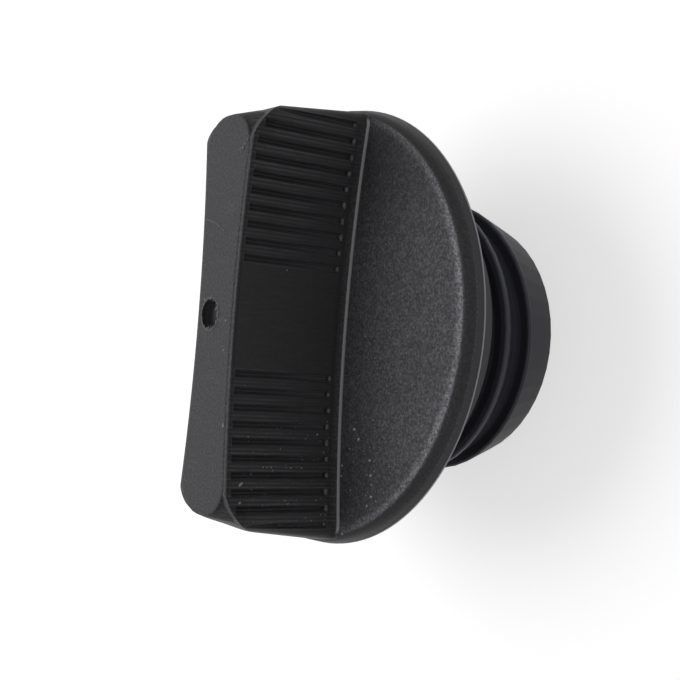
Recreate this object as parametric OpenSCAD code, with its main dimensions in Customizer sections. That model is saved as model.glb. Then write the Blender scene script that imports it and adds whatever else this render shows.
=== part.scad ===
// Oil filler cap with a ribbed grip bar, a round disc and a threaded plug.
// The cap stands on the open end of its plug: Z is the screw axis and the grip bar runs along X.

/* [Disc] */
// Diameter at the parting line, the widest place of the cap
disc_d = 70; // [66:0.5:80]
// Height of the disc above the parting line
disc_h = 3.5; // [3:0.1:6]
// Rounding of the disc's upper edge
rim_r = 1.7; // [0.5:0.1:2.4]
// Inward lean of the rim wall between the parting line and the rounding
rim_lean = 0.25; // [0.1:0.05:0.6]
// How far the parting line stands out of the rim wall
parting_out = 0.15; // [0.05:0.05:0.3]
// Height of the parting line's bead
parting_t = 0.35; // [0.2:0.05:0.6]

/* [Grip bar] */
// Height of the grip bar above the parting line
grip_h = 22.2; // [16:0.2:30]
// Width of the bar's top face at the middle of its length
grip_top_w = 10.7; // [9:0.1:14]
// Width of the bar at its foot, at the middle of its length
grip_foot_w = 15.4; // [14:0.1:18]
// Radius of the hollow curve that gives the bar its waist
waist_r = 245; // [150:5:600]
// Gap between the rim wall and the bar's end where the end leaves the disc
end_inset = 0.2; // [0.1:0.05:1]
// Inward lean of the bar's ends, in mm for each mm of height
end_lean = 0.13; // [0.05:0.01:0.2]
// Radius by which the ends curve over to the top, seen from the side
end_curve_r = 7.7; // [5:0.1:8]
// Height over which the plate's round corners widen into the bar's own
plate_fall = 2; // [1:0.1:4]
// Corner rounding of the bar seen from above
corner_r = 2.1; // [1.5:0.1:4]
// Depth of the shallow hollow down the middle of each end
end_hollow = 0.5; // [0.3:0.1:1.5]
// Radius of that hollow
end_hollow_r = 18; // [8:0.5:20]
// Reach of the top plate from the axis, at the top
plate_end = 30.2; // [29:0.1:31]
// Corner rounding of the top plate seen from above
plate_corner_r = 6; // [3:0.1:6.4]
// Outward lean of the plate's ends, in mm for each mm downwards
plate_lean = 0.33; // [0.1:0.01:0.4]
// Set-back of the plate from the bar's sides
plate_in = 0.55; // [0.3:0.05:1]
// Height of the plate above the bar's sides
plate_step = 0.15; // [0.1:0.05:0.4]
// Rounding of the edge round the top face
top_edge_r = 0.4; // [0.2:0.05:0.8]
// Fillet where the bar's sides meet the disc
foot_r = 1; // [0.4:0.1:1.6]

/* [Finger grooves] */
// Number of grooves in each of the four groups
groove_count = 10; // [4:1:10]
// Distance from groove to groove along the bar
groove_pitch = 2.47; // [2:0.01:2.5]
// Distance from the middle of the bar to the first groove
groove_first = 8.5; // [5:0.1:9]
// Width of a groove at the wall's surface
groove_w = 0.95; // [0.8:0.05:1.3]
// Width of a groove at its bottom
groove_floor_w = 0.3; // [0.3:0.05:0.7]
// Depth of a groove
groove_depth = 0.8; // [0.3:0.05:0.9]
// Height of the grooves' lower ends above the disc
groove_foot = 1.7; // [1.2:0.1:4]
// Distance from the grooves' upper ends to the top face
groove_top = 0.8; // [0.7:0.1:4]

/* [Gate recess] */
// Diameter of the moulding gate's recess in the top face
gate_d = 5; // [3:0.1:5.6]
// Depth of the gate's recess
gate_depth = 1.6; // [1:0.1:2]
// Distance of the gate's recess from the bar's middle line, towards +Y
gate_off = 1.4; // [0:0.1:2]

/* [Shell] */
// Wall thickness of the hollow grip bar
shell_t = 2.3; // [1.8:0.1:2.6]
// Thickness of the roof over the grip bar's hollow
roof_t = 3.2; // [3:0.1:5]
// Number of webs across the grip bar's hollow
web_count = 4; // [1:1:6]
// Thickness of a web
web_t = 1.5; // [1:0.1:2.5]

/* [Plug flange] */
// Thickness of the plug's flange, let into the knob's underside
flange_t = 1.5; // [1.2:0.1:2]
// Width of the knob's rim outside the flange
rim_w = 2.8; // [2.2:0.1:3.4]
// Radial clearance between flange and knob
flange_gap = 0.1; // [0.05:0.05:0.3]

/* [Plug] */
// Length of the plug below the parting line
plug_len = 29.6; // [26:0.2:40]
// Diameter of the smooth collar above the thread
collar_d = 50.4; // [49:0.2:52]
// Distance from the parting line to the collar's lower end
collar_len = 11.3; // [8:0.1:14]
// Diameter between the thread's turns
root_d = 42.8; // [42:0.1:44]
// Diameter of the plug's open end
tip_d = 41.8; // [40.5:0.1:42]
// Bore of the plug, open at its lower end
bore_d = 36.8; // [30:0.2:37.6]
// Depth of the bore
bore_depth = 20; // [12:0.5:20]
// Thickness of the wall that closes the bore
floor_t = 2.4; // [1.5:0.1:4]
// Wall thickness of the collar
collar_t = 2.9; // [2:0.1:4]

/* [Thread] */
// Rise of the thread in one turn
pitch = 6; // [5:0.1:7]
// Height of the thread's first turn above the plug's end, on the side at -Y
thread_z = 7.8; // [7:0.1:9]
// Diameter over the thread, measured at that place
crest_d = 46.6; // [46:0.1:48]
// Growth of the crest's radius for each mm of height
crest_taper = 0.108; // [0:0.002:0.11]
// Height of the crest's outer land
land_h = 0.8; // [0.4:0.1:1.2]
// Height of the sloping flank under the land
flank_h = 4.2; // [3:0.1:4.4]
// Rounding of the crest's upper edge
edge_r = 0.3; // [0.1:0.05:0.5]

/* [Seal] */
// Width of the rubber seal, from its bore to its outer edge
seal_w = 6.2; // [4:0.1:7]
// Thickness of the seal
seal_t = 3; // [2:0.1:4]
// Depth of the seat that holds the seal on the collar
seat_depth = 0.5; // [0.3:0.1:1]
// Radial clearance between seal and seat
seal_gap = 0.1; // [0.05:0.05:0.3]
// Height of the sealing bead on the seal's underside
bead_h = 0.5; // [0.2:0.1:0.8]

/* [Hidden] */
$fn = 96;
disc_r = disc_d / 2;
rim_out_r = disc_r - parting_out;
part_z = plug_len;
recess_r = disc_r - rim_w;
collar_r = collar_d / 2;
root_r = root_d / 2;
tip_r = tip_d / 2;
seat_r = collar_r - seat_depth;
front_angle = -92;
step = 7.5;
eps = 0.01;

// Grip bar: its outline at any height, as seen from above
wall_points = 9;
corner_points = 7;
end_points = 5;

function smooth(t) = let (c = max(0, min(1, t))) c * c * (3 - 2 * c);
function sag(x) = waist_r - sqrt(waist_r * waist_r - x * x);
function sag_slope(x) = x / sqrt(waist_r * waist_r - x * x);

// Half width at the middle of the bar at height h above the parting line
function half_w(h) =
    (grip_foot_w + (grip_top_w - grip_foot_w) * (h - disc_h) / (grip_h - disc_h)) / 2;
// Reach of the bar's end from the axis at height h
function end_r(h) = rim_out_r - rim_lean - end_inset - end_lean * (h - disc_h + rim_r);
// Centre of the curve by which the ends turn over to the top
curve_z = grip_h - end_curve_r;
curve_x = sqrt(pow(end_r(curve_z), 2) - pow(grip_top_w / 2, 2)) - end_curve_r;

// Place along the wall where the corner rounding starts, found by repeated substitution
function corner_x(w, e, r, x, n) = n == 0 ? x :
    let (s = sag_slope(x), k = sqrt(1 + s * s), cy = w + sag(x) - r / k)
    corner_x(w, e, r, sqrt((e - r) * (e - r) - cy * cy) - r * s / k, n - 1);

// One quarter of the outline, from the middle of the wall to the middle of the end
function quarter(w, e, r) =
    let (xt = corner_x(w, e, r, e - r, 6),
         s = sag_slope(xt),
         k = sqrt(1 + s * s),
         c = [xt + r * s / k, w + sag(xt) - r / k],
         a0 = 90 + atan(s),
         a1 = atan2(c[1], c[0]))
    concat(
        [for (i = [0:wall_points - 1]) let (x = xt * i / wall_points) [x, w + sag(x)]],
        [for (i = [0:corner_points]) let (a = a0 + (a1 - a0) * i / corner_points)
            c + r * [cos(a), sin(a)]],
        [for (i = [1:end_points]) let (a = a1 * (1 - i / end_points)) e * [cos(a), sin(a)]]);

// The whole outline, with the shared points at the quarters' ends left out
function outline(w, e, r) =
    let (q = quarter(w, e, r), n = len(q))
    concat(
        [for (i = [n - 1:-1:0]) q[i]],
        [for (i = [1:n - 1]) [-q[i][0], q[i][1]]],
        [for (i = [n - 2:-1:0]) [-q[i][0], -q[i][1]]],
        [for (i = [1:n - 2]) [q[i][0], -q[i][1]]]);

// A closed solid through a stack of outlines with equal numbers of points
module loft(rings, heights) {
    n = len(rings[0]);
    half = n / 2;
    e = (len(rings) - 1) * n;
    pts = [for (j = [0:len(rings) - 1]) for (p = rings[j]) [p[0], p[1], heights[j]]];
    sides = [for (j = [0:len(rings) - 2]) for (i = [0:n - 1]) each [
        [j * n + i, (j + 1) * n + i, (j + 1) * n + (i + 1) % n],
        [j * n + i, (j + 1) * n + (i + 1) % n, j * n + (i + 1) % n]]];
    caps = [for (i = [1:half - 2]) each [
        [i, i + 1, n - i - 1, n - i],
        [e + n - i, e + n - i - 1, e + i + 1, e + i]]];
    tips = [[0, 1, n - 1], [half - 1, half, half + 1],
            [e + n - 1, e + 1, e], [e + half + 1, e + half, e + half - 1]];
    polyhedron(pts, concat(sides, caps, tips));
}

// Widening of the bar's sides in the fillet at its foot
function foot_out(h) = h < disc_h || h > disc_h + foot_r ? 0 :
    let (t = disc_h + foot_r - h) foot_r - sqrt(foot_r * foot_r - t * t);
// Narrowing towards a rounded upper edge that ends at height top
function edge_in(h, top) = h < top - top_edge_r ? 0 :
    let (t = h - top + top_edge_r) top_edge_r - sqrt(max(0, top_edge_r * top_edge_r - t * t));
// Heights at which a rounded upper edge is sampled
function edge_levels(top) =
    [for (i = [0:edge_steps]) top - top_edge_r * (1 - sin(90 * i / edge_steps))];

fillet_steps = 4;
edge_steps = 4;
body_top = grip_h - plate_step;
body_levels = concat(
    [disc_h / 2],
    [for (i = [0:fillet_steps]) disc_h + foot_r * (1 - cos(90 * i / fillet_steps))],
    edge_levels(body_top));
plate_levels = concat([curve_z, grip_h - plate_fall], edge_levels(grip_h));

// Outline of the bar seen from the side, which its ends keep within
module side_form() {
    out = disc_d;
    for (mx = [0, 1]) mirror([mx, 0]) {
        square([curve_x, grip_h]);
        translate([curve_x, curve_z]) circle(end_curve_r);
        polygon([[0, 0], [out, 0], [curve_x + end_curve_r, curve_z], [0, curve_z]]);
    }
}

// Round cutters that lean with the bar's ends and stop above the disc
module end_hollows() {
    for (mx = [0, 1]) mirror([mx, 0, 0])
        intersection() {
            translate([end_r(0) - end_hollow + end_hollow_r, 0, 0])
                rotate([0, -atan(end_lean), 0])
                    cylinder(r = end_hollow_r, h = 2 * grip_h);
            translate([0, -disc_r, disc_h + 2 * foot_r]) cube([2 * disc_d, disc_d, grip_h]);
        }
}

// The bar with its curved-over ends, and the flat plate that stands out at the ends
module grip_form() {
    body = [for (h = body_levels)
        let (m = edge_in(h, body_top)) outline(half_w(h) + foot_out(h) - m, end_r(h) - m, corner_r)];
    plate = [for (h = plate_levels)
        let (m = edge_in(h, grip_h), w = half_w(h) - plate_in - m,
             r = h > grip_h - plate_fall ? plate_corner_r : corner_r)
        outline(w, plate_end + plate_lean * (grip_h - h) - m, min(r, w + 0.2))];
    translate([0, 0, part_z]) {
        intersection() {
            loft(body, body_levels);
            translate([0, disc_r, 0]) rotate([90, 0, 0]) linear_extrude(disc_d) side_form();
            difference() {
                cylinder(r = disc_d, h = grip_h + 1);
                end_hollows();
            }
        }
        loft(plate, plate_levels);
    }
}

// Hollow of the grip bar, open towards the plug, with webs across it
module grip_hollow() {
    levels = [flange_t - 1, disc_h + 1, grip_h - roof_t];
    rings = [for (h = levels)
        outline(half_w(h) - shell_t, end_r(h) - shell_t, max(1, corner_r - shell_t))];
    space = 2 * (end_r(disc_h) - shell_t) / (web_count + 1);
    difference() {
        translate([0, 0, part_z]) loft(rings, levels);
        for (i = [1:web_count])
            translate([(i - (web_count + 1) / 2) * space - web_t / 2, -grip_foot_w, part_z + flange_t])
                cube([web_t, 2 * grip_foot_w, grip_h]);
    }
}

// One groove with a flared mouth, cut along the leaning wall
module groove(length) {
    lean = atan(((grip_foot_w - grip_top_w) / 2) / (grip_h - disc_h));
    out = 1;
    lip = 0.15;
    rotate([-lean, 0, 0])
        linear_extrude(length)
            polygon([[-groove_floor_w / 2, groove_depth], [groove_floor_w / 2, groove_depth],
                     [groove_w / 2, groove_depth * 0.3], [groove_w / 2 + lip, 0],
                     [groove_w / 2 + lip + out, -out], [-groove_w / 2 - lip - out, -out],
                     [-groove_w / 2 - lip, 0], [-groove_w / 2, groove_depth * 0.3]]);
}

// Height of the bar's side at a distance x from the middle
function side_h(x) = x < curve_x ? grip_h :
    curve_z + sqrt(max(0, end_curve_r * end_curve_r - pow(x - curve_x, 2)));

// The four groups of grooves, mirrored from the one at +X and -Y
module grooves() {
    start = disc_h + groove_foot;
    for (mx = [0, 1]) for (my = [0, 1])
        mirror([mx, 0, 0]) mirror([0, my, 0])
            for (i = [0:groove_count - 1]) {
                x = groove_first + i * groove_pitch;
                translate([x, -half_w(start) - sag(x), part_z + start])
                    rotate([0, 0, -atan(sag_slope(x))])
                        groove(side_h(x) - groove_top - start);
            }
}

// Disc profile: rim wall with its parting bead, rounded shoulder and flat top
module disc_profile() {
    shoulder_r = rim_out_r - rim_lean - rim_r;
    polygon([[0, 0], [disc_r - parting_out, 0], [disc_r, parting_t * 0.3], [disc_r, parting_t * 0.6],
             [rim_out_r, parting_t], [rim_out_r - rim_lean, disc_h - rim_r],
             [shoulder_r, disc_h - rim_r], [shoulder_r, disc_h], [0, disc_h]]);
    translate([shoulder_r, disc_h - rim_r]) circle(rim_r);
}

module knob() {
    color("dimgray")
    difference() {
        union() {
            translate([0, 0, part_z]) rotate_extrude() intersection() {
                disc_profile();
                square([disc_r + 1, disc_h + 1]);
            }
            grip_form();
        }
        grooves();
        grip_hollow();
        translate([0, 0, part_z - eps]) cylinder(r = recess_r, h = flange_t + eps);
        translate([0, gate_off, part_z + grip_h - gate_depth]) cylinder(d = gate_d, h = gate_depth + 1);
    }
}

// Plug body without its thread, as half of its section
module plug_profile() {
    flange_r = recess_r - flange_gap;
    seat_z = part_z - seal_t;
    collar_z = part_z - collar_len;
    floor_z = bore_depth + floor_t;
    difference() {
        polygon([[0, -1], [tip_r - 0.7, -1], [tip_r - 0.7, 0.6], [root_r, 2.6], [root_r, collar_z],
                 [collar_r, collar_z], [collar_r, seat_z], [seat_r, seat_z], [seat_r, part_z],
                 [flange_r, part_z], [flange_r, part_z + flange_t], [0, part_z + flange_t]]);
        translate([0, -2]) square([bore_d / 2, bore_depth + 2]);
        translate([0, floor_z]) square([collar_r - collar_t, plug_len]);
    }
}

// Thread: the ledge's height, the crest's radius, and the lower end of the flank at a turn angle.
// On the first turn the flank runs down to the plug's end; past the front it lifts off to the
// groove's usual width, which leaves the way in for the neck's own thread.
function ledge_z(a) = thread_z + pitch * a / 360;
function crest_r(a) = crest_d / 2 + crest_taper * (ledge_z(a) - thread_z);
function lift(a) = smooth((a - 100) / 60);
lead_start = -190;
lead_len = 50;
run_end = 360 * (part_z - collar_len - thread_z) / pitch + 5;
function height_at(a) =
    0.08 + 0.92 * smooth((a - lead_start) / lead_len) * smooth((run_end - a) / lead_len);
tip_slope = (crest_d / 2 - tip_r) / thread_z;

function thread_section(a) =
    let (z = ledge_z(a),
         k = height_at(a),
         r_in = root_r - 1.4,
         rc = r_in + (crest_r(a) - r_in) * k,
         low = -1 + (z - land_h - flank_h + 1) * lift(a),
         low_r = tip_r - tip_slope + (root_r - 0.2 - tip_r + tip_slope) * lift(a),
         r_low = r_in + (low_r - r_in) * k,
         land = land_h * lift(a) + 0.15,
         e = edge_r * k,
         land_r = rc - 0.02 - 0.25 * lift(a) * k,
         foot_in = 0.35 * lift(a) * k,
         foot_up = 0.9 * lift(a) + 0.05)
    [[r_in, z], [rc - e, z], [rc - 0.3 * e, z - 0.3 * e], [rc, z - e],
     [land_r, z - e - land], [r_low + foot_in, low + foot_up], [r_low, low], [r_in - 0.05, low]];

module thread() {
    n = 8;
    angles = [for (a = [lead_start:step:run_end]) a];
    m = len(angles);
    pts = [for (a = angles) for (p = thread_section(a))
        [p[0] * cos(a + front_angle), p[0] * sin(a + front_angle), p[1]]];
    sides = [for (j = [0:m - 2]) for (i = [0:n - 1]) each [
        [j * n + i, (j + 1) * n + i, (j + 1) * n + (i + 1) % n],
        [j * n + i, (j + 1) * n + (i + 1) % n, j * n + (i + 1) % n]]];
    e = (m - 1) * n;
    ends = [for (i = [0:n - 3]) each [[i, i + 1, n - 1], [e + n - 1, e + i + 1, e + i]]];
    polyhedron(pts, concat(sides, ends));
}

module plug() {
    color("darkslategray")
    difference() {
        union() {
            rotate_extrude() plug_profile();
            thread();
        }
        translate([0, 0, -2]) cylinder(d = disc_d, h = 2);
    }
}

module seal_ring() {
    inner = seat_r + seal_gap;
    outer = inner + seal_w;
    mid = (inner + outer) / 2;
    edge = 0.4;
    color("black")
    translate([0, 0, part_z - seal_t]) rotate_extrude()
        polygon([[inner, bead_h], [mid - 1.2, bead_h], [mid - 0.5, 0], [mid + 0.5, 0],
                 [mid + 1.2, bead_h], [outer - edge, bead_h], [outer, bead_h + edge],
                 [outer, seal_t], [inner, seal_t]]);
}

knob();
plug();
seal_ring();
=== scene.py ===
"""Oil filler cap: plastics, rubber, moulding marks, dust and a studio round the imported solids."""

import math
import random

import bmesh
import bpy
from bpy.props import FloatProperty, FloatVectorProperty, IntProperty, PointerProperty
from mathutils import Matrix, Vector, noise
from mathutils.bvhtree import BVHTree


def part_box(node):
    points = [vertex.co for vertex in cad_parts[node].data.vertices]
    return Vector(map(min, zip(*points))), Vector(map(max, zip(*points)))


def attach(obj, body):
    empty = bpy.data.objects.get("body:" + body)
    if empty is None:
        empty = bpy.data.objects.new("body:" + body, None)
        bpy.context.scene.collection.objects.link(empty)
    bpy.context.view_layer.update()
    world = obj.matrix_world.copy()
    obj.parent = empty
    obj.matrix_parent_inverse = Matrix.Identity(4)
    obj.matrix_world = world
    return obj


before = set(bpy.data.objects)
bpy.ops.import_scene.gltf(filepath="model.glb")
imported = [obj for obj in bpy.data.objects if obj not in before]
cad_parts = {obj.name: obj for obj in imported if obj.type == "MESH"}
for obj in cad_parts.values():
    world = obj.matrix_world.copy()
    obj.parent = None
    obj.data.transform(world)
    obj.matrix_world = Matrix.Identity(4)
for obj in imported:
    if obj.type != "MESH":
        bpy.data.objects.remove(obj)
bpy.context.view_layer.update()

bl_info = {
    "name": "Oil Filler Cap Finish",
    "version": (1, 0, 0),
    "blender": (4, 5, 0),
    "location": "View3D > Sidebar > Filler Cap",
    "description": "Finishes the knob, plug and seal of an oil filler cap and sets up its studio",
    "category": "Object",
}

# Places in metres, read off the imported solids
KNOB_LOW, KNOB_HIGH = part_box("knob")
PARTING_Z = KNOB_LOW.z
TOP_Z = KNOB_HIGH.z
DISC_R = KNOB_HIGH.x
DISC_TOP = PARTING_Z + 0.0035
MM = 0.001

# The knob's grooves, as the solid has them
GROOVE_COUNT = 10
GROOVE_FIRST = 0.0085
GROOVE_PITCH = 0.00247
GROOVE_LAST = GROOVE_FIRST + (GROOVE_COUNT - 1) * GROOVE_PITCH
GROOVE_LOW_Z = DISC_TOP + 0.0017

# The gate recess in the top face: radius, and place across the bar
GATE_R = 0.0025
GATE_Y = 0.0014

# The plug: rise of its thread in a turn, where the first turn stands, and the collar's lower end
PITCH = 0.006
THREAD_START = 0.0078
FRONT_ANGLE = math.radians(-92)
COLLAR_LOW = 0.0183

# The bumps at the grooves' feet: depth in the wall, half sizes, and how much they differ
FOOT_DEPTH = 0.00042
FOOT_RADII = (0.00058, 0.00042, 0.00032)
FOOT_WANDER = 0.00015
FOOT_GROWTH = (0.85, 1.2)

# Widening of the bar's waist for each square metre along it
SAG = 1 / (2 * 0.245)

# The flash along the top plate: half its length, how deep its foot is sunk, cuts along it,
# and each side of the bar with how far the flash swings there
FLASH_REACH = 0.0265
FLASH_SINK = 0.00012
FLASH_CUTS = 420
FLASH_SIDES = ((-1, 1.3), (1, 0.35))

# A fine pale curl on the top plate: places in mm, half its width, and cuts along it
CURL = ((14.6, 4.5), (14.25, 2.9), (13.7, 1.2), (13.1, 0.2), (12.5, -1.15))
CURL_HALF = 0.00015
CURL_CUTS = 23

# Lumps of torn flash at the plate's upper corner: place and radius in mm
LUMPS = ((24.2, -4.0, 0.3), (24.8, -4.6, 0.45), (25.2, -5.1, 0.4), (25.8, -5.5, 0.3))

# The burr round the gate: cuts, half its width, depth of its root and reach of its teeth
BURR_CUTS = 160
BURR_HALF = 0.00015
BURR_ROOT = 0.0001
BURR_REACH = 0.0006

# The longest grain on the wall: along the bar, height, size and how it lies
LONG_GRAIN = (-24.7, 49.3, 3.1, -0.8)
LONG_WIDTH = 0.42

# Coarse grains: along the bar, height or place across it, in mm, and size against the usual
WALL_GRIT = ((-27.4, 49.4, 1.5), (-23.3, 47.3, 1.1), (-25.5, 47.4, 1.1),
             (-20.5, 51.2, 1.6), (-17.1, 36.7, 1.2), (-17.8, 38.7, 1.0), (-21.1, 38.6, 1.0),
             (-22.2, 45.7, 1.1), (-22.2, 45.1, 0.9), (-22.2, 44.4, 1.2), (-22.2, 41.9, 0.9),
             (-22.2, 41.1, 1.1), (-22.2, 39.3, 0.9), (7.4, 43.7, 1.1))
TOP_GRIT = ((-15.8, -12.3, 2.2), (-17.2, -13.5, 2.0), (-22.2, -17.0, 1.9), (-23.5, -17.3, 1.4),
            (-20.0, -16.5, 1.8), (-26.8, -16.6, 1.6), (-25.3, -17.4, 1.9), (-21.6, -10.0, 1.6),
            (-23.2, -10.0, 1.4), (-31.9, -11.0, 1.8), (2.2, 3.1, 1.6), (-0.9, -3.4, 1.6),
            (-5.3, -3.4, 1.8), (-16.3, -4.9, 2.2), (24.7, -4.3, 1.1))

# Fine dust: share of it on the wall, tries for each speck, ranges along and up the wall,
# middle and spread along and across the top, and sizes against the usual
DUST_ON_WALL = 0.4
DUST_TRIES = 20
DUST_WALL_X = (-0.031, -0.015)
DUST_WALL_UP = (0.005, 0.019)
DUST_TOP_X = (-0.020, 0.010)
DUST_TOP_Y = (-0.0165, 0.004)
DUST_SIZES = (0.5, 0.6, 0.7, 0.8, 1.0, 1.4)

# Height that rays are cast down from, how far specks keep from the rim, and how flat they are
CAST_Z = 0.08
RIM_CLEAR = 0.0006
SPECK_FLAT = 0.4

# The search for the top plate's edge: from and to, halvings, and the fall that counts as past it
PLATE_RANGE = (0.003, 0.009)
PLATE_HALVINGS = 14
PLATE_FALL = 0.00008

# Colours that the properties don't set
# Paler colour painted on the plug's collar as a sheen
COLLAR_SHEEN = (0.108, 0.108, 0.115)
GRIT_DARK = (0.15, 0.15, 0.15)
GRIT_LIGHT = (0.40, 0.40, 0.40)
PAPER_LIT = (0.55, 0.55, 0.55, 1.0)
PAPER_SEEN = (0.6, 0.6, 0.6, 1.0)
WHITE = (1, 1, 1, 1)

# The studio: floor, lamp, and the camera fitted to the photograph
FLOOR_HALF = 3.0
FLOOR_Z = -0.00002
LAMP_SIZE = 0.45
LAMP_PLACE = (0.05, 0.22, 0.55)
CAMERA_PLACE = (-0.00531, -0.13821, 0.13444)
CAMERA_BACK = (-0.0178, -0.7907, 0.611)
CAMERA_RIGHT = (0.0754, -0.610, -0.788)


class KnobLook(bpy.types.PropertyGroup):
    """Finish of the moulded knob"""
    colour: FloatVectorProperty(
        name="Plastic colour", description="Colour of the black nylon", subtype="COLOR",
        size=3, min=0, max=1, default=(0.0462, 0.0459, 0.0495))
    roughness: FloatProperty(
        name="Roughness", description="Roughness of the spark-textured faces",
        subtype="FACTOR", min=0, max=1, default=0.56)
    grain: FloatProperty(
        name="Grain size", description="Distance between the pits of the spark texture",
        unit="LENGTH", subtype="DISTANCE", min=0.0001, max=0.002, default=0.00035)
    grain_depth: FloatProperty(
        name="Grain depth", description="Depth of the spark texture",
        unit="LENGTH", subtype="DISTANCE", min=0, max=0.0004, default=0.00014)
    edge: FloatProperty(
        name="Edge rounding", description="Radius that the shading gives to moulded edges",
        unit="LENGTH", subtype="DISTANCE", min=0, max=0.001, default=0.00012)


class PlugLook(bpy.types.PropertyGroup):
    """Finish of the threaded plug"""
    colour: FloatVectorProperty(
        name="Plastic colour", description="Colour of the plug's nylon", subtype="COLOR",
        size=3, min=0, max=1, default=(0.036, 0.0368, 0.0460))
    roughness: FloatProperty(
        name="Roughness", description="Roughness of the smooth moulded faces",
        subtype="FACTOR", min=0, max=1, default=0.46)


class SealLook(bpy.types.PropertyGroup):
    """Finish of the rubber seal"""
    colour: FloatVectorProperty(
        name="Rubber colour", description="Colour of the seal's rubber", subtype="COLOR",
        size=3, min=0, max=1, default=(0.020, 0.020, 0.021))
    roughness: FloatProperty(
        name="Roughness", description="Roughness of the rubber", subtype="FACTOR",
        min=0, max=1, default=0.72)


class MarksLook(bpy.types.PropertyGroup):
    """Moulding marks: flash lines and the burr round the gate"""
    flash_height: FloatProperty(
        name="Flash height", description="Greatest height of the ragged flash on the top face",
        unit="LENGTH", subtype="DISTANCE", min=0, max=0.0003, default=0.00012)
    flash_width: FloatProperty(
        name="Flash width", description="Width of the flash at its foot",
        unit="LENGTH", subtype="DISTANCE", min=0.00005, max=0.0006, default=0.00028)
    burr_height: FloatProperty(
        name="Burr height", description="Greatest height of the burr round the gate recess",
        unit="LENGTH", subtype="DISTANCE", min=0, max=0.0004, default=0.00012)


class DustLook(bpy.types.PropertyGroup):
    """Loose dust on the knob"""
    count: IntProperty(
        name="Specks", description="Number of fine specks", min=0, max=600, default=240)
    size: FloatProperty(
        name="Speck size", description="Usual width of a fine speck", unit="LENGTH",
        subtype="DISTANCE", min=0.00005, max=0.0006, default=0.00016)
    grit_size: FloatProperty(
        name="Grit size", description="Usual width of a coarse grain", unit="LENGTH",
        subtype="DISTANCE", min=0.00005, max=0.001, default=0.00028)


class StudioLook(bpy.types.PropertyGroup):
    """Light, floor and camera"""
    key_power: FloatProperty(
        name="Key light", description="Power of the large soft light above", unit="POWER",
        min=0, max=100, default=1.5)
    sky: FloatProperty(
        name="Sky", description="Strength of the even light from all sides", min=0, max=2,
        default=0.42)
    floor_glow: FloatProperty(
        name="Floor white", description="What the floor adds to be seen white", min=0, max=1,
        default=0.6)
    lens: FloatProperty(
        name="Lens", description="Focal length on a 36 mm wide sensor", unit="CAMERA",
        min=10, max=300, default=56.25)


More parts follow.
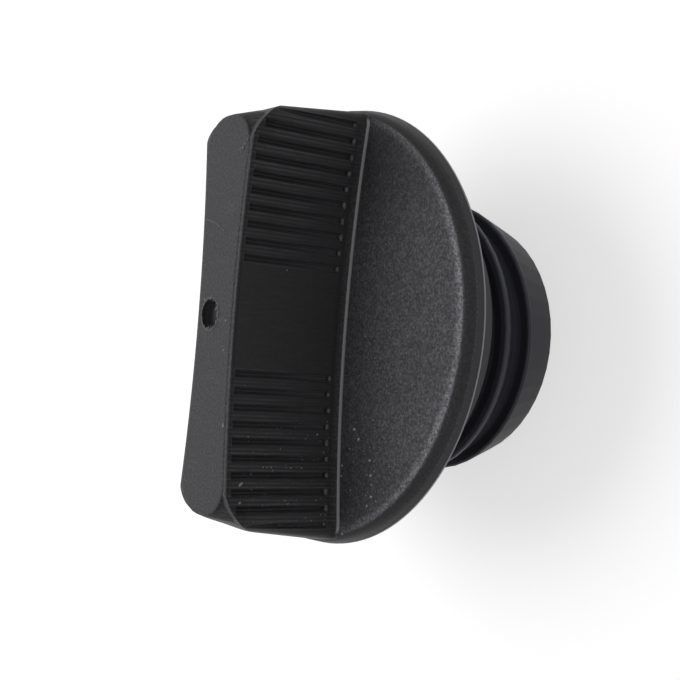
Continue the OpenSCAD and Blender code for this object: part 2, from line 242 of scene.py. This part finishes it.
class Nodes:
    """Short calls for building one material's node tree"""

    def __init__(self, name):
        self.material = bpy.data.materials.new(name)
        self.material.use_nodes = True
        self.tree = self.material.node_tree
        self.shader = self.tree.nodes["Principled BSDF"]
        self.place = self.new("ShaderNodeTexCoord").outputs["Object"]

    def new(self, kind, **settings):
        node = self.tree.nodes.new(kind)
        for key, value in settings.items():
            setattr(node, key, value)
        return node

    def put(self, socket, value):
        if isinstance(value, bpy.types.NodeSocket):
            self.tree.links.new(value, socket)
        elif value is not None:
            socket.default_value = value

    def math(self, operation, a, b=None, clamp=False):
        node = self.new("ShaderNodeMath", operation=operation, use_clamp=clamp)
        for socket, value in zip(node.inputs, (a, b)):
            self.put(socket, value)
        return node.outputs[0]

    def total(self, *parts):
        """Sum of (value, factor) pairs"""
        whole = None
        for value, factor in parts:
            part = self.math("MULTIPLY", value, factor)
            whole = part if whole is None else self.math("ADD", whole, part)
        return whole

    def ramp(self, value, low, high):
        """0 below low, 1 above high, smooth between; low above high falls instead"""
        node = self.new("ShaderNodeMapRange", interpolation_type="SMOOTHSTEP")
        self.put(node.inputs["Value"], value)
        node.inputs["From Min"].default_value = low
        node.inputs["From Max"].default_value = high
        return node.outputs["Result"]

    def band(self, value, low, high, soft):
        """1 between low and high, falling off over soft on both sides"""
        return self.math("MULTIPLY", self.ramp(value, low - soft, low),
                         self.ramp(value, high + soft, high))

    def noise(self, scale, detail=2.0, roughness=0.5, place=None):
        node = self.new("ShaderNodeTexNoise")
        self.put(node.inputs["Vector"], place or self.place)
        node.inputs["Scale"].default_value = scale
        node.inputs["Detail"].default_value = detail
        node.inputs["Roughness"].default_value = roughness
        return node.outputs["Fac"]

    def cells(self, scale):
        node = self.new("ShaderNodeTexVoronoi", feature="F1")
        self.put(node.inputs["Vector"], self.place)
        node.inputs["Scale"].default_value = scale
        return node.outputs["Distance"]

    def stretched(self, scale):
        """Object coordinates drawn out along one or two axes"""
        node = self.new("ShaderNodeMapping")
        self.put(node.inputs["Vector"], self.place)
        node.inputs["Scale"].default_value = scale
        return node.outputs["Vector"]

    def mix(self, factor, a, b):
        node = self.new("ShaderNodeMix", data_type="RGBA")
        self.put(node.inputs["Factor"], factor)
        for socket, value in ((node.inputs[6], a), (node.inputs[7], b)):
            self.put(socket, (*value, 1.0) if isinstance(value, tuple) else value)
        return node.outputs[2]

    def both(self, *masks):
        """All the masks multiplied"""
        value = masks[0]
        for mask in masks[1:]:
            value = self.math("MULTIPLY", value, mask)
        return value

    def tone(self, tint, factor, *masks):
        """tint times factor where all the masks are 1"""
        node = self.new("ShaderNodeMix", data_type="RGBA", blend_type="MULTIPLY")
        self.put(node.inputs["Factor"], self.both(*masks))
        self.put(node.inputs[6], tint)
        self.put(node.inputs[7], (factor, factor, factor, 1.0))
        return node.outputs[2]

    def axes(self):
        node = self.new("ShaderNodeSeparateXYZ")
        self.put(node.inputs[0], self.place)
        return node.outputs

    def facing(self):
        """The surface normal's three parts"""
        node = self.new("ShaderNodeSeparateXYZ")
        self.put(node.inputs[0], self.new("ShaderNodeNewGeometry").outputs["Normal"])
        return node.outputs

    def radius(self, x, y):
        square = self.math("ADD", self.math("MULTIPLY", x, x), self.math("MULTIPLY", y, y))
        return self.math("SQRT", square)

    def soft_edges(self, radius):
        """A normal that rounds off sharp edges"""
        node = self.new("ShaderNodeBevel", samples=6)
        node.inputs["Radius"].default_value = radius
        return node.outputs["Normal"]

    def bump(self, height, distance, strength=1.0, under=None):
        node = self.new("ShaderNodeBump")
        self.put(node.inputs["Height"], height)
        node.inputs["Distance"].default_value = distance
        self.put(node.inputs["Strength"], strength)
        self.put(node.inputs["Normal"], under)
        return node.outputs["Normal"]

    def finish(self, colour, roughness, normal, specular):
        self.put(self.shader.inputs["Base Color"], colour)
        self.put(self.shader.inputs["Roughness"], roughness)
        self.put(self.shader.inputs["Normal"], normal)
        self.shader.inputs["Specular IOR Level"].default_value = specular
        return self.material


def shade(colour, factor):
    """The colour made lighter or darker"""
    return tuple(min(1.0, c * factor) for c in colour)


def dress(node_name, material):
    """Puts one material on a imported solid"""
    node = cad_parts[node_name]
    node.data.materials.clear()
    node.data.materials.append(material)


def knob_plastic(look):
    """Black nylon: spark texture on the disc and top, drawn walls with grooves, pale edges; painted
    shade and light across the disc, rim, walls and grooves, and painted highlights on the shoulder,
    the ribs and the wall's foot
    """
    kit = Nodes("knob_plastic")
    colour = tuple(look.colour)
    x, y, z = kit.axes()
    up = kit.facing()[2]
    r = kit.radius(x, y)
    along = kit.math("ABSOLUTE", x)
    across = kit.math("ABSOLUTE", y)
    level = kit.ramp(up, 0.6, 0.9)

    grain = kit.noise(1 / look.grain, 3.0, 0.62)
    pits = kit.cells(0.85 / look.grain)
    fine = kit.noise(3.5 / look.grain, 2.0, 0.5)
    cloud = kit.noise(90, 3.0, 0.55)
    streaks = kit.noise(1.0, 2.0, 0.6, kit.stretched((2600, 2600, 60)))
    scuffs = kit.noise(1.0, 3.0, 0.65, kit.stretched((700, 160, 700)))

    on_disc = kit.both(kit.ramp(z, DISC_TOP + 0.0012, DISC_TOP + 0.0003),
                       kit.ramp(z, PARTING_Z + 0.0008, PARTING_Z + 0.0016))
    on_top = kit.both(kit.ramp(z, TOP_Z - 0.0016, TOP_Z - 0.0006), level)
    on_wall = kit.both(kit.ramp(z, DISC_TOP + 0.0002, DISC_TOP + 0.00035),
                       kit.math("SUBTRACT", 1.0, level))
    on_rim = kit.ramp(r, 0.0325, 0.0330)
    at_foot = kit.both(kit.band(z, DISC_TOP + 0.00005, DISC_TOP + 0.0002, 0.00004),
                       kit.ramp(r, 0.0338, 0.0330), kit.ramp(up, 0.998, 0.98))
    at_parting = kit.ramp(r, DISC_R - 0.00014, DISC_R - 0.00005)
    waisted = kit.math("SUBTRACT", across, kit.math("MULTIPLY", kit.both(x, x), SAG))
    from_gate = kit.radius(x, kit.math("SUBTRACT", y, GATE_Y))

    rows = kit.both(kit.band(along, GROOVE_FIRST - 0.0007, GROOVE_LAST + 0.0007, 0.0001),
                    on_wall, kit.ramp(across, 0.0045, 0.005))
    # Distance from the nearest groove's middle in pitches: 0 in the groove, 0.5 on the rib
    from_first = kit.math("SUBTRACT", along, GROOVE_FIRST - GROOVE_PITCH / 2)
    count = kit.math("DIVIDE", from_first, GROOVE_PITCH)
    off = kit.math("ABSOLUTE", kit.math("SUBTRACT", kit.math("FRACT", count), 0.5))
    strong = kit.total((kit.ramp(z, DISC_TOP + 0.003, DISC_TOP + 0.013), 0.65),
                       (kit.ramp(along, 0.010, 0.027), 0.55))
    strong = kit.math("MINIMUM", strong, 1.0)
    weak = kit.math("SUBTRACT", 1.0, strong)
    # Streak noise that fades the painted highlight lines on the ribs in and out
    highlight_fade = kit.ramp(streaks, 0.2, 0.6)

    height = kit.total((grain, 1.0), (pits, 0.5), (fine, 0.35))
    rough_parts = kit.total((on_disc, 1.0), (on_top, 0.6), (on_wall, 0.07))
    smoother = kit.total((at_foot, 1.0), (kit.ramp(r, 0.0335, 0.0340), 0.5))
    amount = kit.both(kit.math("ADD", rough_parts, 0.05, clamp=True),
                      kit.math("SUBTRACT", 1.0, smoother, clamp=True))
    rough = kit.bump(height, look.grain_depth, amount, kit.soft_edges(look.edge))
    normal = kit.bump(streaks, 0.00002, kit.both(on_wall, 0.6), rough)

    tint = kit.mix(cloud, shade(colour, 0.86), shade(colour, 1.16))
    for factor, *masks in (
            # Grain: pale tips and dark pits
            (1.85, kit.ramp(grain, 0.50, 0.66), amount),
            (0.5, kit.ramp(grain, 0.50, 0.36), amount),
            (0.65, kit.ramp(pits, 0.40, 0.12), amount),
            # Disc: painted shade beside the bar and at both ends, painted light growing towards the
            # shoulder, and a painted highlight on the shoulder
            (1.3, on_disc, kit.ramp(across, 0.010, 0.026)),
            (0.84, on_disc, kit.ramp(across, 0.024, 0.005)),
            (1.25, on_disc, kit.ramp(r, 0.0240, 0.0335)),
            (0.57, on_disc, kit.ramp(x, 0.010, 0.026)),
            (0.72, on_disc, kit.ramp(x, -0.013, -0.026)),
            (2.45, on_disc, kit.ramp(r, 0.0322, 0.0337), kit.ramp(up, 0.84, 0.90),
             kit.ramp(across, 0.004, 0.018)),
            # Rim: painted shade under the shoulder, paler by the parting line
            (0.45, on_rim, kit.ramp(up, 0.87, 0.76),
             kit.ramp(z, PARTING_Z + 0.0013, PARTING_Z + 0.0018)),
            (1.35, on_rim, kit.band(z, PARTING_Z, PARTING_Z + 0.0009, 0.0003)),
            # Top plate: scuffs, and paler along its edges
            (1.3, on_top, kit.ramp(scuffs, 0.58, 0.75)),
            (1.35, on_top, kit.ramp(waisted, 0.0042, 0.0050)),
            # Walls: painted shade over the whole wall, drawn lines, and for each groove painted
            # highlight lines along its rib with painted darker lines between, painted shade inside
            # the groove, and painted light inside it near the foot and the bar's middle
            (0.65, on_wall),
            (1.12, on_wall, kit.ramp(streaks, 0.45, 0.65)),
            (2.1, rows, kit.band(off, 0.23, 0.29, 0.03), strong, highlight_fade),
            (1.9, rows, kit.ramp(off, 0.44, 0.48), strong, highlight_fade),
            (0.77, rows, kit.band(off, 0.34, 0.40, 0.02), strong),
            (0.8, rows, kit.ramp(off, 0.13, 0.09), strong),
            (2.3, rows, kit.ramp(off, 0.21, 0.17), weak,
             kit.ramp(z, DISC_TOP + 0.0017, DISC_TOP + 0.0024)),
            # Walls: painted shade at the foot, just under the top edge, and at the bar's ends,
            # where it dims the highlight round the plate's corner
            (0.8, on_wall, kit.ramp(z, DISC_TOP + 0.0021, DISC_TOP + 0.0014)),
            (0.6, on_wall, kit.ramp(z, TOP_Z - 0.0008, TOP_Z - 0.0006)),
            (0.72, on_wall, kit.ramp(along, 0.0262, 0.0275),
             kit.ramp(z, TOP_Z - 0.004, TOP_Z - 0.003)),
            # The gate recess's wall, lifted by painted light
            (2.2, kit.ramp(from_gate, GATE_R + 0.0002, GATE_R), kit.ramp(up, 0.7, 0.2),
             kit.band(z, TOP_Z - 0.004, TOP_Z - 0.0001, 0.0001))):
        tint = kit.tone(tint, factor, *masks)
    # A painted highlight along the smooth fillet at the wall's foot
    tint = kit.mix(at_foot, tint, shade(colour, 5.0))
    tint = kit.mix(at_parting, tint, shade(colour, 8.0))

    roughness = kit.math("ADD", look.roughness - 0.05, kit.both(cloud, 0.1))
    roughness = kit.math("SUBTRACT", roughness, kit.total((at_foot, 0.16), (on_wall, 0.04)))
    return kit.finish(tint, roughness, normal, 0.16)


def plug_plastic(look):
    """Smooth nylon with turned streaks; painted shade and light across the thread, a painted
    highlight along its crest, and a painted sheen on the collar
    """
    kit = Nodes("plug_plastic")
    colour = tuple(look.colour)
    x, y, z = kit.axes()
    up = kit.facing()[2]
    r = kit.radius(x, y)
    angle = kit.math("ARCTAN2", y, x)
    turns = kit.math("DIVIDE", kit.math("SUBTRACT", z, THREAD_START), PITCH)
    along = kit.math("DIVIDE", kit.math("SUBTRACT", angle, FRONT_ANGLE), 2 * math.pi)
    # Height in the thread's turn: 1 just under the ledge, 0 on it
    phase = kit.math("FRACT", kit.math("SUBTRACT", turns, along))
    under_collar = kit.ramp(z, COLLAR_LOW + 0.0002, COLLAR_LOW - 0.0002)
    crest = kit.both(kit.ramp(phase, 0.955, 0.985), kit.ramp(r, 0.0227, 0.0230), under_collar)
    collar = kit.both(kit.ramp(r, 0.0246, 0.0250),
                      kit.ramp(z, COLLAR_LOW - 0.0003, COLLAR_LOW + 0.0003))
    end = kit.ramp(z, 0.0076, 0.0070)
    root = kit.both(kit.ramp(r, 0.0219, 0.0215), kit.ramp(z, 0.0040, 0.0060))

    cloud = kit.noise(110, 3.0, 0.55)
    fine = kit.noise(6500, 2.0, 0.5)
    rings = kit.noise(1.0, 2.0, 0.5, kit.stretched((40, 40, 2600)))
    height = kit.total((fine, 0.5), (rings, 1.0))
    normal = kit.bump(height, 0.000012, 0.7, kit.soft_edges(0.00018))
    tint = kit.mix(cloud, shade(colour, 0.85), shade(colour, 1.15))
    for factor, *masks in (
            # Painted shade on the flank, the root, the ledge and the plug's end, painted light on
            # the land, and a painted highlight on the thread's crest
            (0.75, kit.band(phase, 0.36, 0.84, 0.04), kit.ramp(z, 0.0076, 0.0084), under_collar),
            (0.84, root),
            (0.78, kit.ramp(up, 0.5, 0.9), kit.ramp(r, 0.0217, 0.0220), under_collar),
            (1.3, kit.band(phase, 0.86, 0.95, 0.02), under_collar),
            (0.62, end),
            (2.2, crest)):
        tint = kit.tone(tint, factor, *masks)
    # Painted sheen: the collar's land painted paler, as smooth plastic catching light at a grazing
    # angle
    tint = kit.mix(kit.both(collar, 0.8), tint, COLLAR_SHEEN)
    roughness = kit.math("ADD", look.roughness - 0.06, kit.math("MULTIPLY", cloud, 0.12))
    return kit.finish(tint, roughness, normal, 0.16)


def seal_rubber(look):
    """Dull rubber with a fine moulded grain"""
    kit = Nodes("seal_rubber")
    colour = tuple(look.colour)
    cloud = kit.noise(160, 3.0, 0.6)
    fine = kit.noise(5200, 2.0, 0.6)
    normal = kit.bump(fine, 0.00002, 0.6)
    mottled = kit.mix(cloud, shade(colour, 0.8), shade(colour, 1.3))
    roughness = kit.math("ADD", look.roughness - 0.05, kit.math("MULTIPLY", cloud, 0.1))
    return kit.finish(mottled, roughness, normal, 0.2)


def pale_flash_and_highlight(look):
    """The knob's nylon, stretched pale and smooth where it squeezed out or tore; on the groove feet
    the same pale colour is a painted highlight
    """
    kit = Nodes("pale_flash_and_highlight")
    colour = tuple(look.colour)
    torn = kit.noise(2400, 3.0, 0.6)
    pale = kit.mix(kit.ramp(torn, 0.35, 0.7), shade(colour, 1.1), shade(colour, 2.3))
    return kit.finish(pale, 0.45, kit.bump(torn, 0.00004, 0.6), 0.2)


def dust_grit():
    """Pale mineral dust"""
    kit = Nodes("dust_grit")
    grains = kit.noise(4000, 2.0, 0.5)
    colour = kit.mix(grains, GRIT_DARK, GRIT_LIGHT)
    return kit.finish(colour, 0.9, kit.bump(grains, 0.00003, 0.5), 0.2)


def as_piece(bm, name, material):
    """Makes a mesh object from bm, which rides with the cap"""
    bmesh.ops.recalc_face_normals(bm, faces=bm.faces[:])
    mesh = bpy.data.meshes.new(name)
    bm.to_mesh(mesh)
    bm.free()
    for polygon in mesh.polygons:
        polygon.use_smooth = True
    piece = bpy.data.objects.new(name, mesh)
    bpy.context.scene.collection.objects.link(piece)
    mesh.materials.append(material)
    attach(piece, "root")


def knob_surface():
    """The knob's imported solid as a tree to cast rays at"""
    bm = bmesh.new()
    bm.from_mesh(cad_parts["knob"].data)
    bmesh.ops.remove_doubles(bm, verts=bm.verts[:], dist=1e-7)
    tree = BVHTree.FromBMesh(bm)
    bm.free()
    return tree


def drop(tree, x, y):
    """The knob's height straight below a point over it"""
    spot = tree.ray_cast(Vector((x, y, TOP_Z + 0.01)), Vector((0, 0, -1)))[0]
    return spot.z if spot else PARTING_Z


def plate_edge(tree, x, side):
    """How far from the middle the top plate reaches at x, found by halving"""
    near, far = PLATE_RANGE
    for _ in range(PLATE_HALVINGS):
        middle = (near + far) / 2
        if drop(tree, x, side * middle) > TOP_Z - PLATE_FALL:
            near = middle
        else:
            far = middle
    return near


def ridge(bm, cuts, lay, closed=False):
    """A thin bar, cut across many times and laid by lay(share, across, above)"""
    before = set(bm.verts)
    bmesh.ops.create_cone(bm, cap_ends=not closed, segments=6, radius1=1, radius2=1, depth=1)
    spans = {e for v in bm.verts if v not in before for e in v.link_edges
             if abs(e.verts[0].co.z - e.verts[1].co.z) > 0.5}
    bmesh.ops.subdivide_edges(bm, edges=list(spans), cuts=cuts)
    verts = [v for v in bm.verts if v not in before]
    for vert in verts:
        vert.co = lay(vert.co.z + 0.5, vert.co.x, vert.co.y)
    if closed:
        bmesh.ops.remove_doubles(bm, verts=verts, dist=1e-6)


def speck(bm, tree, start, way, size, dice, lie=None):
    """Drops one flat grain on the knob; 1 if it landed, 0 if it missed"""
    spot, normal = tree.ray_cast(start, way)[:2]
    if spot is None or math.hypot(spot.x, spot.y) > DISC_R - RIM_CLEAR:
        return 0
    if spot.z > TOP_Z - 0.001 and way.z == 0:
        return 0
    turn = normal.to_track_quat("Z", "Y").to_matrix().to_4x4()
    wide = dice.uniform(0.45, 0.9) if lie is None else LONG_WIDTH
    spin = Matrix.Rotation(dice.uniform(0, 2 * math.pi) if lie is None else lie, 4, "Z")
    flat = Matrix.Diagonal((size, size * wide, size * SPECK_FLAT, 1))
    place = Matrix.Translation(spot) @ turn @ spin @ flat
    bmesh.ops.create_icosphere(bm, subdivisions=1, radius=0.6, matrix=place)
    return 1


def floor_paper(look):
    """White paper: seen white with the object's shadow, and pale grey to the light on the object"""
    kit = Nodes("floor_paper")
    kit.finish(PAPER_LIT, 0.95, None, 0.1)
    seen = kit.new("ShaderNodeBsdfDiffuse")
    seen.inputs["Color"].default_value = PAPER_SEEN
    glow = kit.new("ShaderNodeEmission")
    glow.inputs["Strength"].default_value = look.floor_glow
    both = kit.new("ShaderNodeAddShader")
    kit.put(both.inputs[0], seen.outputs[0])
    kit.put(both.inputs[1], glow.outputs[0])
    choose = kit.new("ShaderNodeMixShader")
    kit.put(choose.inputs["Fac"], white_rays(kit.tree))
    kit.put(choose.inputs[1], kit.shader.outputs[0])
    kit.put(choose.inputs[2], both.outputs[0])
    kit.put(kit.tree.nodes["Material Output"].inputs["Surface"], choose.outputs[0])
    return kit.material


def white_rays(tree):
    """1 for the rays that see the white background: from the camera, mirrored or let through"""
    path = tree.nodes.new("ShaderNodeLightPath")
    first = tree.nodes.new("ShaderNodeMath")
    first.operation = "ADD"
    second = tree.nodes.new("ShaderNodeMath")
    second.operation = "ADD"
    second.use_clamp = True
    tree.links.new(path.outputs["Is Camera Ray"], first.inputs[0])
    tree.links.new(path.outputs["Is Glossy Ray"], first.inputs[1])
    tree.links.new(first.outputs[0], second.inputs[0])
    tree.links.new(path.outputs["Is Transmission Ray"], second.inputs[1])
    return second.outputs[0]


def studio_sky(look):
    """Even light from all sides, with a white background behind it"""
    world = bpy.data.worlds.new("studio_sky")
    world.use_nodes = True
    tree = world.node_tree
    sky = tree.nodes["Background"]
    sky.inputs["Color"].default_value = WHITE
    sky.inputs["Strength"].default_value = look.sky
    backdrop = tree.nodes.new("ShaderNodeBackground")
    backdrop.inputs["Color"].default_value = WHITE
    backdrop.inputs["Strength"].default_value = 1.0
    choose = tree.nodes.new("ShaderNodeMixShader")
    tree.links.new(white_rays(tree), choose.inputs["Fac"])
    tree.links.new(sky.outputs[0], choose.inputs[1])
    tree.links.new(backdrop.outputs[0], choose.inputs[2])
    tree.links.new(choose.outputs[0], tree.nodes["World Output"].inputs["Surface"])
    return world


class CAP_OT_knob(bpy.types.Operator):
    """Give the knob its spark-textured black plastic"""
    bl_idname = "filler_cap.knob"
    bl_label = "Finish Knob"

    def execute(self, context):
        dress("knob", knob_plastic(context.scene.knob_look))
        return {"FINISHED"}


class CAP_OT_plug(bpy.types.Operator):
    """Give the threaded plug its smooth plastic"""
    bl_idname = "filler_cap.plug"
    bl_label = "Finish Plug"

    def execute(self, context):
        dress("plug", plug_plastic(context.scene.plug_look))
        return {"FINISHED"}


class CAP_OT_seal(bpy.types.Operator):
    """Give the seal its rubber"""
    bl_idname = "filler_cap.seal"
    bl_label = "Finish Seal"

    def execute(self, context):
        dress("seal_ring", seal_rubber(context.scene.seal_look))
        return {"FINISHED"}


class CAP_OT_groove_feet(bpy.types.Operator):
    """Round off the lower end of every finger groove"""
    bl_idname = "filler_cap.groove_feet"
    bl_label = "Add Groove Feet"

    def execute(self, context):
        tree = knob_surface()
        dice = random.Random(3)
        bm = bmesh.new()
        for side in (-1, 1):
            for end in (-1, 1):
                for i in range(GROOVE_COUNT):
                    x = end * (GROOVE_FIRST + i * GROOVE_PITCH)
                    rib = x + end * GROOVE_PITCH / 2
                    start = Vector((rib, side * DISC_R, GROOVE_LOW_Z))
                    spot = tree.ray_cast(start, Vector((0, -side, 0)))[0]
                    if spot is None:
                        raise RuntimeError("a groove foot found no wall beside it")
                    low = GROOVE_LOW_Z + dice.uniform(-FOOT_WANDER, FOOT_WANDER)
                    place = Matrix.Translation((x, spot.y - side * FOOT_DEPTH, low))
                    radii = [a * dice.uniform(*FOOT_GROWTH) for a in FOOT_RADII]
                    form = Matrix.Diagonal(radii + [1])
                    bmesh.ops.create_uvsphere(bm, u_segments=14, v_segments=8, radius=1,
                                              matrix=place @ form)
        # The feet's pale plastic is a painted highlight on the grooves' rounded ends
        material = pale_flash_and_highlight(context.scene.knob_look)
        as_piece(bm, "groove_feet", material)
        return {"FINISHED"}


class CAP_OT_flash(bpy.types.Operator):
    """Lay the ragged flash, its lumps and the curl on the top plate"""
    bl_idname = "filler_cap.flash"
    bl_label = "Add Flash Lines"

    def execute(self, context):
        look = context.scene.marks_look
        tree = knob_surface()
        spans = FLASH_CUTS + 1
        bm = bmesh.new()
        for side, swing in FLASH_SIDES:
            middles = []
            for i in range(spans + 1):
                x = FLASH_REACH * (2 * i / spans - 1)
                wander = (1.6 * noise.noise(Vector((x * 330, side * 5.0, 9.7)))
                          + 1.1 * noise.noise(Vector((x * 1100, side * 2.0, 3.1))))
                out = look.flash_width * (0.35 + swing * max(-0.6, wander))
                y = plate_edge(tree, x, side) + out
                middles.append(Vector((x, side * y, TOP_Z - FLASH_SINK)))

            def lay(share, across, above, side=side, middles=middles):
                middle = middles[round(share * spans)]
                ragged = 0.5 + 1.2 * noise.noise(Vector((middle.x * 900, side * 7.0, 0.3)))
                torn = max(0, noise.noise(Vector((middle.x * 260, side * 3.0, 5.1))) - 0.25) * 2.5
                rise = min(1.0, max(0.12, ragged + torn))
                wide = look.flash_width * (0.7 + 0.6 * rise)
                high = (look.flash_height * (0.3 + 0.7 * rise) if above > 0 else FLASH_SINK) * above
                return middle + Vector((0, side * across * wide / 2, high))

            ridge(bm, FLASH_CUTS, lay)

        def lay_curl(share, across, above):
            place = share * (len(CURL) - 1)
            i = min(int(place), len(CURL) - 2)
            spot = Vector(CURL[i]).lerp(Vector(CURL[i + 1]), place - i) * MM
            way = (Vector(CURL[i + 1]) - Vector(CURL[i])).normalized()
            rise = (0.6 if above > 0 else 1) * above * CURL_HALF
            return Vector((spot.x - way.y * across * CURL_HALF,
                           spot.y + way.x * across * CURL_HALF,
                           drop(tree, spot.x, spot.y) + rise))

        ridge(bm, CURL_CUTS, lay_curl)
        for x, y, size in LUMPS:
            spot = Matrix.Translation((x * MM, y * MM, drop(tree, x * MM, y * MM)))
            form = Matrix.Diagonal((size * MM, size * MM * 0.7, size * MM * 0.3, 1))
            bmesh.ops.create_icosphere(bm, subdivisions=2, radius=1, matrix=spot @ form)
        material = pale_flash_and_highlight(context.scene.knob_look)
        as_piece(bm, "plate_flash", material)
        return {"FINISHED"}


class CAP_OT_burr(bpy.types.Operator):
    """Leave the torn burr round the gate recess"""
    bl_idname = "filler_cap.burr"
    bl_label = "Add Gate Burr"

    def execute(self, context):
        look = context.scene.marks_look
        bm = bmesh.new()

        def lay(share, across, above):
            angle = 2 * math.pi * share
            spot = Vector((math.cos(angle), math.sin(angle), 0))
            ragged = noise.noise(spot * 4.5 + Vector((0, 0, 2.2)))
            bits = noise.noise(spot * 11 + Vector((3.1, 0, 0)))
            near = 0.5 - 0.5 * math.sin(angle)
            high = look.burr_height * max(0.05, 0.15 + 0.5 * near + 0.7 * ragged + 0.5 * bits)
            teeth = noise.noise(spot * 7 + Vector((0, 5.7, 0)))
            inward = BURR_REACH * (0.25 + near) * max(0, 0.1 + ragged + bits + 1.8 * teeth)
            out = GATE_R + across * BURR_HALF - (inward if across < 0 else 0)
            z = TOP_Z + high * max(0, above) + BURR_ROOT * min(0, above)
            return Vector((spot.x * out, GATE_Y + spot.y * out, z))

        ridge(bm, BURR_CUTS, lay, closed=True)
        material = pale_flash_and_highlight(context.scene.knob_look)
        as_piece(bm, "gate_burr", material)
        return {"FINISHED"}


class CAP_OT_dust(bpy.types.Operator):
    """Scatter dust and a few coarse grains over the knob"""
    bl_idname = "filler_cap.dust"
    bl_label = "Add Dust"

    def execute(self, context):
        look = context.scene.dust_look
        tree = knob_surface()
        dice = random.Random(7)
        bm = bmesh.new()
        made = 0
        tries = 0
        while made < look.count and tries < DUST_TRIES * look.count:
            tries += 1
            if dice.random() < DUST_ON_WALL:
                spot = Vector((dice.uniform(*DUST_WALL_X), -DISC_R,
                               PARTING_Z + dice.uniform(*DUST_WALL_UP)))
                down = Vector((0, 1, 0))
            else:
                spot = Vector((dice.gauss(*DUST_TOP_X), dice.gauss(*DUST_TOP_Y), CAST_Z))
                down = Vector((0, 0, -1))
            size = look.size * dice.choice(DUST_SIZES)
            made += speck(bm, tree, spot, down, size, dice)
        if made < look.count:
            raise RuntimeError("the knob gave too few places for dust")
        x, height, size, lie = LONG_GRAIN
        speck(bm, tree, Vector((x * MM, -DISC_R, height * MM)), Vector((0, 1, 0)),
              look.grit_size * size, dice, lie)
        for x, height, size in WALL_GRIT:
            spot = Vector((x * MM, -DISC_R, height * MM))
            speck(bm, tree, spot, Vector((0, 1, 0)), look.grit_size * size, dice)
        for x, y, size in TOP_GRIT:
            spot = Vector((x * MM, y * MM, CAST_Z))
            speck(bm, tree, spot, Vector((0, 0, -1)), look.grit_size * size, dice)
        as_piece(bm, "dust_specks", dust_grit())
        return {"FINISHED"}


class CAP_OT_studio(bpy.types.Operator):
    """Set the floor, the soft light and the camera"""
    bl_idname = "filler_cap.studio"
    bl_label = "Set Up Studio"

    def execute(self, context):
        look = context.scene.studio_look
        scene = context.scene
        scene.view_settings.view_transform = "Standard"

        bm = bmesh.new()
        bmesh.ops.create_grid(bm, x_segments=1, y_segments=1, size=FLOOR_HALF,
                              matrix=Matrix.Translation((0, 0, FLOOR_Z)))
        mesh = bpy.data.meshes.new("floor")
        bm.to_mesh(mesh)
        bm.free()
        floor = bpy.data.objects.new("floor", mesh)
        scene.collection.objects.link(floor)
        mesh.materials.append(floor_paper(look))

        scene.world = studio_sky(look)
        key = bpy.data.lights.new("key_light", "AREA")
        key.shape = "DISK"
        key.size = LAMP_SIZE
        key.energy = look.key_power
        lamp = bpy.data.objects.new("key_light", key)
        lamp.location = LAMP_PLACE
        lamp.rotation_euler = (-Vector(lamp.location)).to_track_quat("-Z", "Y").to_euler()
        scene.collection.objects.link(lamp)

        lens = bpy.data.cameras.new("photo_camera")
        lens.sensor_width = 36
        lens.lens = look.lens
        lens.clip_start = 0.005
        camera = bpy.data.objects.new("photo_camera", lens)
        back = Vector(CAMERA_BACK).normalized()
        right = Vector(CAMERA_RIGHT)
        right = (right - back * right.dot(back)).normalized()
        up = back.cross(right)
        turn = Matrix((right, up, back)).transposed().to_4x4()
        camera.matrix_world = Matrix.Translation(CAMERA_PLACE) @ turn
        scene.collection.objects.link(camera)
        scene.camera = camera
        return {"FINISHED"}


class CAP_PT_panel(bpy.types.Panel):
    """Steps that finish the filler cap"""
    bl_idname = "CAP_PT_panel"
    bl_label = "Filler Cap"
    bl_space_type = "VIEW_3D"
    bl_region_type = "UI"
    bl_category = "Filler Cap"

    def draw(self, context):
        for step in STEPS:
            self.layout.operator(step.bl_idname)


GROUPS = (KnobLook, PlugLook, SealLook, MarksLook, DustLook, StudioLook)
STEPS = (CAP_OT_knob, CAP_OT_plug, CAP_OT_seal, CAP_OT_groove_feet, CAP_OT_flash, CAP_OT_burr,
         CAP_OT_dust, CAP_OT_studio)
LOOKS = {"knob_look": KnobLook, "plug_look": PlugLook, "seal_look": SealLook,
         "marks_look": MarksLook, "dust_look": DustLook, "studio_look": StudioLook}


def register():
    for group in GROUPS + STEPS + (CAP_PT_panel,):
        bpy.utils.register_class(group)
    for name, group in LOOKS.items():
        setattr(bpy.types.Scene, name, PointerProperty(type=group))


def unregister():
    for name in LOOKS:
        delattr(bpy.types.Scene, name)
    for group in reversed(GROUPS + STEPS + (CAP_PT_panel,)):
        bpy.utils.unregister_class(group)


def main():
    register()
    bpy.ops.filler_cap.knob()
    bpy.ops.filler_cap.plug()
    bpy.ops.filler_cap.seal()
    bpy.ops.filler_cap.groove_feet()
    bpy.ops.filler_cap.flash()
    bpy.ops.filler_cap.burr()
    bpy.ops.filler_cap.dust()
    bpy.ops.filler_cap.studio()


if __name__ == "__main__":
    main()
